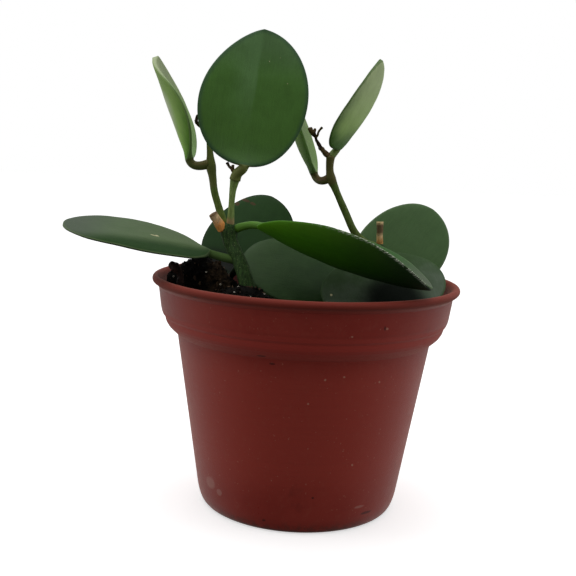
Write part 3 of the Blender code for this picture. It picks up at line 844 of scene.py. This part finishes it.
@dataclass
class Look:
    """A leaf's colours, given as they look on a screen in even light; some are painted light and
    shade, as marked.

    Spots and patches are given as (across, along, half length, half width) on the blade.
    """
    upper: tuple  # at the stalk and at the tip
    rim: tuple
    stalk: tuple
    lower: tuple = PALE_UNDERSIDE  # at the margin, in the middle and at the tip
    stalk_top: tuple = ()  # the stalk's upper side, where it differs
    tip: tuple = ()  # the last quarter of the upper side
    heel: tuple = ()  # the part of the upper side next to the stalk
    dim: tuple = ()  # painted shade over the left part of the upper side, widest at the stalk
    gloss: float = 0.28
    rim_width: float = 0.9
    rim_below: bool = False  # the rim shows on the lower side too
    line: float = 0.0  # half width of a painted shade line, in green, along the left margin
    lit_band: tuple = ()  # painted light: a lighter band left of the crease, where that half faces the light
    clouds: float = 0.7  # unevenness of the change from stalk to tip
    green_side: bool = False  # only the right margin is greener underneath
    core: tuple = ()  # the middle of the lower side, where it is paler
    frost_and_glint: bool = False  # white frost flecks along the right margin, and painted highlight in dashes on the margin itself
    cream: tuple = ()  # spots
    brown: tuple = ()  # spots
    shade_patch: tuple = ()  # painted shade: a wide dark patch where the leaf lies in shade


LOOKS = {
    "leaf_upper_left": Look(
        upper=SHEEN_PALE_UPPER, rim=(186, 200, 156), stalk=(92, 98, 48), core=(214, 230, 186),
        stalk_top=(112, 90, 52), rim_width=0.5, rim_below=True, line=0.34, clouds=0.3),
    "leaf_upper_middle": Look(
        upper=((75, 118, 43), (83, 130, 54)), rim=(58, 92, 64), stalk=(120, 128, 66),
        # painted light on the half left of its crease
        tip=(92, 130, 76), heel=(88, 124, 70), rim_width=1.8, lit_band=(104, 146, 88),
        cream=((3.4, 34.7, 0.2, 0.16), (6.7, 36.4, 0.1, 0.1), (10.2, 28.6, 0.12, 0.14))),
    "leaf_lower_left": Look(
        upper=((88, 113, 64), (74, 97, 62)), lower=((22, 40, 12), (26, 46, 14), (34, 50, 28)),
        # dim is painted shade on its near, left half
        rim=(98, 118, 78), stalk=(76, 104, 50), tip=(70, 86, 64), dim=(38, 68, 28), rim_width=0.6,
        clouds=0.4, cream=((1.3, 19.0, 1.5, 0.4), (2.1, 18.3, 0.6, 0.35))),
    "leaf_lower_front": Look(
        # its lower side is painted light and shade: bright green for light shining through it, near
        # black toward the tip
        upper=((48, 102, 22), (54, 100, 40)), lower=((92, 158, 16), (72, 142, 4), (8, 40, 1)),
        rim=(84, 122, 60), stalk=(92, 140, 46), tip=(82, 96, 74), rim_width=0.4, clouds=0.15,
        frost_and_glint=True),
    "leaf_back_left": Look(
        upper=((29, 64, 20), (40, 77, 29)), rim=(30, 54, 22), stalk=(24, 40, 16),
        brown=((-8.0, 26.7, 0.6, 2.0), (-4.6, 26.6, 0.55, 1.2), (-9.8, 24.2, 0.8, 0.9)),
        # painted shade near the stalk, where the leaf's lower part lies in shadow
        shade_patch=((0.0, 0.0, 6.5, 12.0),)),
    "leaf_low_middle": Look(
        upper=((30, 66, 12), (61, 89, 48)), rim=(44, 72, 34), stalk=(50, 76, 30)),
    "leaf_low_right": Look(
        upper=((66, 90, 56), (94, 106, 92)), rim=(66, 90, 56), stalk=(88, 122, 50), gloss=0.03,
        # painted shadow on its lower part, cast by the lower front leaf above it
        cream=((18.0, 15.5, 0.5, 0.4),), shade_patch=((0.5, 23.5, 12.0, 11.0),)),
    "leaf_back_right": Look(
        upper=((79, 110, 64), (80, 112, 66)), rim=(122, 140, 112), stalk=(88, 122, 50),
        rim_width=0.6),
    "leaf_upper_inner": Look(
        # its upper side is painted pale, for the sheen on it seen edge-on
        upper=((124, 160, 88), (150, 164, 124)),
        lower=((82, 130, 28), (120, 162, 50), (130, 154, 76)), rim=(180, 196, 146),
        stalk=(98, 96, 50), stalk_top=(104, 62, 44), rim_width=0.5, rim_below=True, line=0.34,
        clouds=0.3),
    "leaf_upper_right": Look(
        upper=((74, 116, 42), (86, 130, 54)),
        lower=((68, 120, 24), (172, 212, 110), (194, 214, 156)), rim=(76, 106, 48),
        stalk=(100, 122, 54), rim_width=0.45, rim_below=True, clouds=0.3, green_side=True),
}


def spot_factor(across, along, spots, outer, inner):
    """How much of a spot covers each place; it fades from inner to outer times its size."""
    total = 0
    for spot_across, spot_along, length, width in spots:
        reach = ((along - spot_along) / length) ** 2 + ((across - spot_across) / width) ** 2
        total = total + reach.rise(outer, inner)
    return total


def leaf_finish(name, leaf, look):
    """Fleshy leaf skin: two greens a side, a margin, fine streaks, its own marks and painted light
    and shade.
    """
    coat = Finish(name, {"Specular IOR Level": look.gloss}, look.upper[0])
    across, along, edge = coat.lay()
    inside = abs(edge)
    is_upper = edge.rise(-0.1, 0.1)
    lay = coat.vector(across, along * 0.12, edge * 0.05)
    clouds = coat.speckle(0.16, 3, 0.6)
    streaks = coat.speckle(1.7, 4, 0.6, coords=lay)
    grain = coat.speckle(3.4, 3, 0.65)
    length = leaf_frame(leaf)[3]
    far = (along / length + (clouds - 0.5) * look.clouds).rise(0, 1)

    coat.tint(far, look.upper[1])
    if look.tip:
        coat.tint((along + clouds * 9).rise(length * 0.72, length * 1.02), look.tip)
    if look.heel:
        coat.tint((along + clouds * 8).rise(15, 2) * 0.8, look.heel)
    # painted shade over the left part of the upper side
    left_shade = 0
    if look.dim:
        left_shade = (across + along * 0.36 + clouds * 4).rise(9, -2)
        coat.tint(left_shade, look.dim)
    # painted light: a lighter band left of the crease
    if look.lit_band:
        beside = (across + streaks * 1.6).rise(1.4, 0.2) * along.rise(length * 0.2, length * 0.75)
        coat.tint(beside * (across + clouds * 4).rise(-8, 0) * 0.75, look.lit_band)
    upper = coat.colour

    coat.colour = paint(look.lower[0])
    pale = (inside + clouds * 2).rise(0.8, 6)
    if look.green_side:
        pale = pale.most(across.rise(1, -7)) * along.rise(1, 13)
    coat.tint(pale, look.lower[1])
    coat.tint(far, look.lower[2])
    if look.core:
        coat.tint((inside + clouds * 2).rise(5, 12), look.core)
    coat.colour = coat.mix(is_upper, coat.colour, upper)

    rim = (inside + streaks * 0.3).rise(look.rim_width + 0.2, 0.15) * 0.8
    coat.tint(rim if look.rim_below else rim * is_upper, look.rim)
    # painted shade: a green line along the left margin, where the cupped blade shades itself
    if look.line:
        line = inside.rise(look.line, look.line * 0.4) * across.rise(-0.2, -1.5)
        coat.tint(line * along.rise(length * 0.86, length * 0.62) * 0.6, SHADE_LINE_GREEN)
    if look.frost_and_glint:
        outer = along.rise(length * 0.36, length * 0.6) * across.rise(2, 5)
        flecks = coat.speckle(1.9, 3, 0.7, (1, 9, 1), lay).rise(0.54, 0.66)
        # painted highlight: white dashes right on the margin
        glint_dashes = coat.speckle(1.6, 3, 0.65, (4, 3.6, 1), lay).rise(0.47, 0.6)
        flecks = flecks * is_upper * inside.rise(6.5, 1.5) * 0.4
        coat.tint(flecks.most(glint_dashes * inside.rise(0.6, 0.15)) * outer, FLECK_AND_GLINT_WHITE)
    for spots, tone in ((look.cream, CREAM), (look.brown, BROWN)):
        if spots:
            place = (across + streaks * 0.4, along + grain * 0.5)
            coat.tint(spot_factor(*place, spots, 1.3, 0.6), tone)
    # painted shade: a near-black patch where the leaf lies in shade
    if look.shade_patch:
        shade_patch = spot_factor(across + clouds * 4, along, look.shade_patch, 1.5, 0.3)
        coat.tint(shade_patch * is_upper * 0.97, SHADE_BLACK)
    on_stalk = along.rise(0.6, -0.1)
    coat.tint(on_stalk, look.stalk)
    if look.stalk_top:
        coat.tint(on_stalk * edge.rise(0, 0.9) * 0.5, look.stalk_top)
    shade = (streaks - 0.5) * 0.34 + (grain - 0.5) * 0.3 + (clouds - 0.5) * 0.3 + 1
    shades = coat.node("CombineColor", {0: shade, 1: shade, 2: shade})
    coat.colour = coat.mix(1, coat.colour, shades, "MULTIPLY")
    roughness = (grain - 0.5) * 0.3 + (clouds - 0.5) * 0.2 + 0.58 + left_shade * 0.4
    return coat.finish(roughness, streaks * 0.5 + grain * 0.5, 0.11)


# Marks on the pot's front: tone, strength and spots with centre x and z, half height, half width
POT_MARKS = (
    ((46, 20, 16), 0.7, (
        (-47.4, 74, 0.7, 0.25), (-33.1, 76.6, 0.3, 1.1), (42.9, 75.7, 0.4, 0.3),
        (-12.2, 60.2, 0.35, 1.5), (-8.8, 57.8, 0.35, 0.9), (5.7, 13.5, 0.4, 0.4),
        (-9.6, 4.1, 0.4, 0.6), (23.5, 5.7, 0.5, 1.9), (24.6, 70.6, 0.7, 0.3))),
    ((206, 170, 156), 0.25, (
        (-28.3, 11.6, 2.2, 1.7), (-25, 9.6, 1.2, 1), (21, 8.6, 0.5, 1.6))),
    ((196, 140, 120), 0.7, (
        (14.7, 68.3, 0.3, 0.35), (7.5, 53.5, 0.4, 0.35), (13.3, 54.4, 0.3, 0.4),
        (24.6, 51.9, 0.4, 0.3), (2.7, 45.6, 0.35, 0.3), (17.7, 24.2, 0.4, 0.35),
        (25.3, 70.4, 0.4, 0.4))),
)


def pot_finish():
    """Thin dull plastic: cloudy brick red with fine dust, faint turning lines and scuffs, with
    painted shade inside and along the foot.
    """
    coat = Finish("terracotta_plastic", {
        "Specular IOR Level": 0.32, "Sheen Weight": 0.4, "Sheen Roughness": 0.4,
        "Sheen Tint": (1, 0.47, 0.37, 1)}, (148, 46, 36))
    beside, ahead, height = coat.parts(coat.place)
    clouds = coat.speckle(0.05, 4, 0.6)
    dust = coat.speckle(0.55, 5, 0.72, (1, 1, 0.6))
    grain = coat.speckle(4.2, 2, 0.6)
    flecks = coat.speckle(1.15, 1, 0.4)
    rings = coat.speckle(0.7, 3, 0.5, (0.01, 0.01, 1))
    stains = coat.speckle(0.09, 4, 0.7, (1, 1, 0.5))
    coat.tint(clouds.rise(0.3, 0.7), (158, 54, 43))
    body = height.rise(8, 24) * height.rise(62, 50)
    coat.tint(body * 0.85, (170, 62, 50))
    coat.tint(dust.rise(0.5, 0.78) * 0.2, (166, 88, 70))
    coat.tint(flecks.rise(0.74, 0.77) * 0.4, (194, 128, 108))
    coat.tint(stains.rise(0.6, 0.74) * 0.2, (72, 26, 20))
    stepped = height.rise(58.6, 60.2) * height.rise(68, 66.5)
    coat.tint(stepped * 0.8, (178, 60, 49))
    on_lip = height.rise(75.9, 76.7)
    coat.tint(on_lip * 0.85, (118, 40, 26))
    # darker and mottled toward the foot
    darker_low = height.rise(5, 1) * dust.rise(0.4, 0.6)
    coat.tint(darker_low * 0.6, (70, 46, 38))
    # painted shadow: a near-black band along the foot, where the pot meets the floor
    coat.tint(height.rise(1.6, 0.5) * 0.8, (34, 20, 17))
    front = ahead.rise(-2, -6)
    for tone, strength, marks in POT_MARKS:
        factor = spot_factor(beside + grain * 0.5, height + dust * 0.5 - 0.25, marks, 1.4, 0.4)
        coat.tint(factor * front * strength, tone)
    # the inner wall above the soil: painted shade in the pot's recess, mottled with grime
    wall = (height - 67) * 0.138 + 48.75
    from_wall = wall - (beside * beside + ahead * ahead) ** 0.5
    within = from_wall.rise(-0.1, 0.15) * height.rise(66.9, 67.6) * height.rise(78, 76.6)
    shade_and_grime = coat.mix(dust.rise(0.4, 0.6), paint((92, 28, 26)), paint((52, 24, 24)))
    coat.colour = coat.mix(within, coat.colour, shade_and_grime)
    roughness = (dust - 0.5) * 0.3 + (clouds - 0.5) * 0.1 + 0.34
    roughness = on_lip.most(within) * 0.45 + stepped * 0.2 + roughness
    return coat.finish(roughness, grain * 0.4 + rings * 0.6, 0.09)


# Dry fibrous spots on the soil: centre x and y, half depth, half width
DRY_PATCHES = ((-29.5, -6.5, 5.5, 4.5),)


def soil_finish():
    """Dark potting soil with pale fibres where it is dry."""
    coat = Finish("potting_soil", {"Specular IOR Level": 0.12}, (8, 6, 5))
    clouds = coat.speckle(0.35, 4, 0.65)
    grain = coat.speckle(2.8, 5, 0.7)
    fibres = coat.speckle(1.6, 3, 0.6, (1, 0.25, 1))
    coat.tint(clouds.rise(0.35, 0.7), (18, 14, 11))
    beside, ahead, _ = coat.parts(coat.place)
    dry = spot_factor(beside, ahead, DRY_PATCHES, 1.4, 0.2) * clouds.rise(0.35, 0.65)
    coat.tint(fibres.rise(0.62, 0.72) * 0.3 + dry * 0.3, (112, 88, 62))
    return coat.finish((grain - 0.5) * 0.2 + 0.9, grain * 0.7 + clouds * 0.3, 0.5)


def stem_finish(name, low, high, fleck, fleck_share, wrinkle, band=None):
    """Stem skin: streaks and small raised flecks, and a band of its length in another colour."""
    coat = Finish(name, {"Specular IOR Level": 0.2}, low)
    clouds = coat.speckle(0.3, 3, 0.6)
    streaks = coat.speckle(1.9, 4, 0.65, (1, 1, 0.14))
    grain = coat.speckle(2.9, 3, 0.6)
    folds = coat.speckle(wrinkle, 3, 0.6, (0.3, 0.3, 1))
    coat.tint(streaks.rise(0.3, 0.7), high)
    coat.tint(clouds.rise(0.55, 0.75) * 0.5, low)
    coat.tint(grain.rise(0.66 - fleck_share, 0.72 - fleck_share), fleck)
    if band:
        tone, first, last = band
        spot = coat.lay()[1] + (streaks - 0.5) * 2
        within = spot.rise(first - 0.6, first + 0.6) * spot.rise(last + 0.8, last - 0.8)
        coat.tint(within * 0.7, tone)
    return coat.finish((grain - 0.5) * 0.3 + 0.6, folds * 0.5 + streaks * 0.3 + grain * 0.2, 0.3)


def wood_finish(name, low, high, dark, dark_from):
    """Dry tissue: pale lengthwise fibres, mottled, with a dark band from a height on."""
    coat = Finish(name, {"Specular IOR Level": 0.2}, low)
    length = coat.lay()[1]
    fibres = coat.speckle(2.6, 4, 0.7, (1, 1, 0.12))
    mottle = coat.speckle(1.1, 4, 0.7)
    coat.tint((length + (fibres - 0.5) * 5).rise(1.5, 4.5), high)
    coat.tint(mottle.rise(0.55, 0.66) * 0.6, dark)
    spot = length + mottle * 2
    band = spot.rise(dark_from, dark_from + 1.6) * spot.rise(dark_from + 4.6, dark_from + 3.8)
    coat.tint(band * 0.85, dark)
    return coat.finish((mottle - 0.5) * 0.2 + 0.75, fibres * 0.6 + mottle * 0.4, 0.35)


def grain_finish(name, low, high):
    """Loose grains of one kind: two tones and a rough surface."""
    coat = Finish(name, {"Specular IOR Level": 0.3}, low)
    patches = coat.speckle(0.9, 3, 0.6)
    grain = coat.speckle(3.5, 4, 0.7)
    coat.tint(patches.rise(0.35, 0.65), high)
    return coat.finish((grain - 0.5) * 0.3 + 0.75, grain, 0.3)


# Stem skins: two tones, the flecks' tone and share, how fine the folds are, and a band
OLD_SKIN = ("old_stem", (25, 47, 16), (64, 96, 44), (104, 124, 76), 0.06, 1.6)
DRIED_SKIN = ("dried_tendril", (34, 22, 20), (60, 38, 30), (96, 64, 46), -0.02, 1.4,
              ((104, 82, 48), -9, 4.4))
YOUNG_SKINS = {
    "shoot_left_back": (
        "young_shoot_back", (80, 98, 40), (108, 128, 56), (134, 146, 80), 0, 0.8,
        ((100, 100, 52), 14, 40)),
    "shoot_left_front": (
        "young_shoot_front", (118, 144, 72), (154, 178, 104), (168, 178, 118), 0, 0.8,
        ((190, 150, 116), 1.2, 3.6)),
    "shoot_right": (
        "young_shoot_right", (74, 92, 36), (102, 122, 54), (126, 138, 76), 0, 0.8,
        ((100, 84, 48), 28, 60)),
}
CUT_SKINS = {
    "cut_end_left": ("dry_cut_left", (250, 168, 88), (238, 204, 156), (104, 78, 54), 5.4),
    "cut_end_right": ("dry_cut_right", (206, 150, 84), (236, 204, 150), (84, 60, 38), 4.6),
}


def make_leaves():
    for name, leaf in LEAVES.items():
        finish = leaf_finish(name + "_skin", leaf, LOOKS[name])
        add_piece(name + "_fine", leaf_mesh(name, leaf), finish, name)


def make_stems():
    old = stem_finish(*OLD_SKIN)
    for name, knots in STEMS.items():
        add_piece(name + "_fine", tube(name, knots, OLD_WAVES, 40), old, name)
    for name, knots in SHOOTS.items():
        mesh = tube(name, sunk(knots), YOUNG_WAVES, 32)
        add_piece(name + "_fine", mesh, stem_finish(*YOUNG_SKINS[name]), name)
    for name, knots in CUT_ENDS.items():
        mesh = tube(name, sunk(knots), WOOD_WAVES, 36, spacing=0.25, hollow=0.7)
        add_piece(name + "_fine", mesh, wood_finish(*CUT_SKINS[name]), name)


def make_tendrils():
    """The dried tendrils with their side tips, and the twig."""
    dried = stem_finish(*DRIED_SKIN)
    stems = {name: sunk(knots) for name, knots in TENDRILS.items()}
    for name, knots in {**stems, "twig": TWIG}.items():
        parts = [tube(name, knots, DRIED_WAVES, 20, spacing=0.25)]
        parts += [tube(name, side, DRIED_WAVES, 16, spacing=0.25)
                  for side in BRANCHES.get(name, ())]
        add_piece(name + "_fine", joined(name, parts), dried, name)


def make_pot():
    finish = pot_finish()
    outline = point_cloud("pot_outline", [(radius, 0, height) for radius, height in pot_outline()])
    mesh = grown("pot_fine", outline, turned_pot_tree(), {
        "Turns": POT_TURNS, "Weld": WELD * MM, "Drain Holes": DRAIN_HOLES,
        "Drain Circle": DRAIN_CIRCLE * MM, "Drain Radius": DRAIN_RADIUS * MM,
        "Material": finish})
    mesh.shade_smooth()
    mesh.set_sharp_from_angle(angle=math.radians(SHARP_ANGLE))
    add_piece("pot_fine", mesh, finish, "pot")


# Single grains that stand out on the soil: x and y, and radius
WHITE_GRAINS = (
    (-28.9, -7.0, 0.7), (-22.8, -24.0, 0.6), (-13.2, -19.8, 0.8), (-31.0, -11.5, 0.35),
    (-26.5, -14.0, 0.4), (-17.5, -23.5, 0.35), (-9.0, -18.0, 0.4), (-34.0, -6.0, 0.3))
TAN_GRAINS = (
    (-17.4, -18.6, 0.9), (-16.2, -19.2, 0.6), (-15.0, -18.4, 0.8), (-27.6, -9.0, 0.7),
    (-25.0, -19.0, 0.6), (-30.2, -8.6, 0.8), (-21.0, -23.8, 0.5))


def on_soil(name, grains):
    """Points on the soil's surface for single grains."""
    return point_cloud(name, [(x, y, soil_height(x, y) + radius * GRAIN_RISE)
                              for x, y, radius in grains])


def make_soil():
    ground = soil_finish()
    white = grain_finish("perlite", (226, 220, 206), (198, 188, 168))
    tan = grain_finish("bark_chips", (96, 74, 50), (58, 40, 28))
    mesh = soil_mesh()
    add_piece("soil_fine", mesh, ground, "soil")
    strewn = (upper_faces(mesh, GRAINS_ABOVE), grain_tree("scattered_grains", True, 1))
    placed = grain_tree("placed_grains", False, 2)
    white_spots = (on_soil("perlite_spots", WHITE_GRAINS), placed)
    tan_spots = (on_soil("bark_spots", TAN_GRAINS), placed)
    grains = (  # grains to the square metre, sizes, unevenness, proportions, seed
        ("soil_crumbs", ground, strewn, 5.0e5, (0.25, 1.1), 0.9, (1.0, 0.8, 0.7), 3),
        ("perlite_scattered", white, strewn, 4.0e3, (0.15, 0.5), 0.7, (1.0, 0.9, 0.8), 11),
        ("bark_scattered", tan, strewn, 5.0e4, (0.3, 1.4), 0.8, (1.0, 0.45, 0.25), 5),
        ("perlite_placed", white, white_spots, 0.0, (0.25, 0.6), 0.7, (1.0, 0.9, 0.8), 7),
        ("bark_placed", tan, tan_spots, 0.0, (0.5, 0.9), 0.8, (1.0, 0.5, 0.4), 9))
    for name, finish, source, density, sizes, unevenness, proportions, seed in grains:
        add_piece(name, grown(name, *source, {
            "Density": density, "Smallest": sizes[0] * MM, "Largest": sizes[1] * MM,
            "Unevenness": unevenness, "Proportions": proportions, "Seed": seed,
            "Material": finish}), finish)


def make_stage():
    """A white floor that shows to the camera and in shadows only."""
    mesh = bpy.data.meshes.new("floor")
    corners = ((-1, -1), (1, -1), (1, 1), (-1, 1))
    mesh.from_pydata([(x * FLOOR_REACH * MM, y * FLOOR_REACH * MM, 0) for x, y in corners], [],
                     [(0, 1, 2, 3)])
    white = Finish("white_floor", {
        "Base Color": (0.9, 0.9, 0.9, 1.0), "Roughness": 0.9, "Specular IOR Level": 0.1,
        "Emission Color": (1.0, 1.0, 1.0, 1.0), "Emission Strength": 0.55})
    mesh.materials.append(white.material)
    floor = in_scene("floor", mesh)
    floor.visible_diffuse = False
    floor.visible_glossy = False


def make_world():
    """The room's light: bright behind and above the plant, dim in front and below."""
    world = bpy.data.worlds.new("light_tent")
    world.use_nodes = True
    bpy.context.scene.world = world
    sky = Graph(world.node_tree)
    _, behind, above = sky.parts(sky.node("TexCoord", output="Generated"))
    rear = behind.rise(-0.7, 0.6)
    light = rear * 0.22 + above.rise(0.3, 0.95) * 0.4 + 0.26
    light = light + above.rise(0.02, -0.25) * (rear * 0.1 - 0.16)
    light = light * (1.0 - above.rise(-0.6, -0.95) * 0.8)
    seen = sky.node("LightPath", output="Is Camera Ray")
    background = world.node_tree.nodes["Background"].inputs
    sky.feed(background["Strength"], light + seen * (1.0 - light))
    background["Color"].default_value = (1.0, 1.0, 1.0, 1.0)


def make_light(name, place, size, watts):
    lamp = bpy.data.lights.new(name, "AREA")
    lamp.shape = "RECTANGLE"
    lamp.size, lamp.size_y = size
    lamp.energy = watts
    lit = in_scene(name, lamp)
    lit.location = place
    lit.rotation_euler = (Vector(LAMP_TARGET) - Vector(place)).to_track_quat("-Z", "Y").to_euler()


def make_camera():
    lens = bpy.data.cameras.new("camera")
    lens.lens = FOCAL_LENGTH
    lens.sensor_width = SENSOR
    lens.clip_start = NEAREST * MM
    camera = in_scene("camera", lens)
    turns = ((-LOOK_ASIDE, "Z"), (90 - LOOK_DOWN, "X"), (LEAN, "Z"))
    aside, down, lean = (Matrix.Rotation(math.radians(turn), 4, axis) for turn, axis in turns)
    camera.matrix_world = Matrix.Translation(Vector(CAMERA_PLACE) * MM) @ aside @ down @ lean
    bpy.context.scene.camera = camera


make_pot()
make_soil()
make_stems()
make_tendrils()
make_leaves()
make_stage()
make_world()
for lamp in LAMPS:
    make_light(*lamp)
make_camera()
bpy.context.scene.view_settings.view_transform = "Standard"
